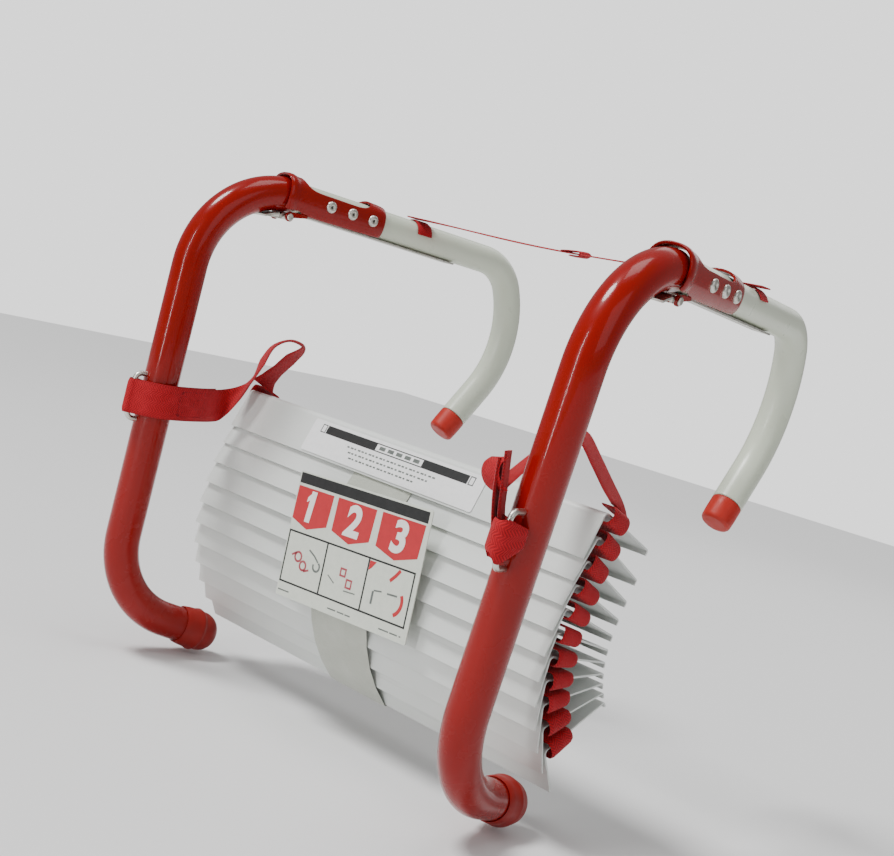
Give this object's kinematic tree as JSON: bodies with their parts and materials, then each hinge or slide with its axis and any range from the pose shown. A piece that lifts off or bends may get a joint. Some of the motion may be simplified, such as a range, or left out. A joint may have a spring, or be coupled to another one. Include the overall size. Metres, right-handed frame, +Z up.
{
  "type": "escape rope ladder",
  "caption": "Packed escape ladder: two red tubular arms with fold-down white hooks for a window sill, nested metal rungs on red webbing, held shut by a belt with a card.",
  "frame": {"origin": "where a window sill carries the ladder: midway between the two hooks, level with the underside of their tubes", "axes": "+X from the left arm to the right arm along the rungs, +Y toward the building that the hooks reach into, +Z up"},
  "size_m": [0.3844, 0.3398, 0.3671],
  "materials": {
    "red_paint": "glossy red powder coat",
    "white_paint": "smooth off-white paint",
    "red_cap": "soft satin moulding",
    "red_webbing": "woven webbing",
    "rung_coat": "satin light grey coat",
    "plated_steel": "bright zinc plate",
    "grey_belt": "hook-and-loop strap",
    "card": "printed card, smooth",
    "label": "printed film, smooth"
  },
  "bodies": {
    "ladder": {"hook_and_loop_belt": "grey_belt", "instruction_card": "card", "left_arm_strap": "red_webbing", "left_arm_tube": "red_paint", "left_foot_cap": "red_cap", "left_hinge_pin": "plated_steel", "left_hinge_plate": "plated_steel", "left_ladder_webbing": "red_webbing", "left_strap_staple": "plated_steel", "left_webbing_bight": "red_webbing", "right_arm_strap": "red_webbing", "right_arm_tube": "red_paint", "right_foot_cap": "red_cap", "right_hinge_pin": "plated_steel", "right_hinge_plate": "plated_steel", "right_ladder_webbing": "red_webbing", "right_strap_staple": "plated_steel", "right_webbing_bight": "red_webbing", "rung_01": "rung_coat", "rung_02": "rung_coat", "rung_03": "rung_coat", "rung_04": "rung_coat", "rung_05": "rung_coat", "rung_06": "rung_coat", "rung_07": "rung_coat", "rung_08": "rung_coat", "rung_09": "rung_coat", "rung_10": "rung_coat", "rung_11": "rung_coat", "top_label": "label"},
    "left_hook": {"left_hook_plug": "red_cap", "left_hook_sleeve": "red_paint", "left_hook_tube": "white_paint", "left_latch_strip": "plated_steel", "left_sleeve_rivet_1": "plated_steel", "left_sleeve_rivet_2": "plated_steel", "left_sleeve_rivet_3": "plated_steel", "left_spacer_tab": "red_webbing"},
    "right_hook": {"right_hook_plug": "red_cap", "right_hook_sleeve": "red_paint", "right_hook_tube": "white_paint", "right_latch_strip": "plated_steel", "right_sleeve_rivet_1": "plated_steel", "right_sleeve_rivet_2": "plated_steel", "right_sleeve_rivet_3": "plated_steel", "right_spacer_tab": "red_webbing"},
    "spacer": {"spacer_strap": "red_webbing"}
  },
  "joints": [
    {"name": "left_hook_fold", "type": "hinge", "parent": "ladder", "child": "left_hook", "pos_m": [-0.1654, -0.15185, -0.00031], "axis": [0.9867, -0.1625, 0], "range_deg": [-33, 0]},
    {"name": "right_hook_fold", "type": "hinge", "parent": "ladder", "child": "right_hook", "pos_m": [0.17581, -0.15014, -0.00068], "axis": [0.9843, 0.1621, -0.0698], "range_deg": [-33, 0]},
    {"name": "spacer_follow", "type": "hinge", "parent": "ladder", "child": "spacer", "pos_m": [0, -0.15099, -0.00049], "axis": [1, 0, 0], "range_deg": [-33, 0]}
  ],
  "couplings": [
    {"joint": "right_hook_fold", "follows": "left_hook_fold", "ratio": 1},
    {"joint": "spacer_follow", "follows": "left_hook_fold", "ratio": 1}
  ]
}
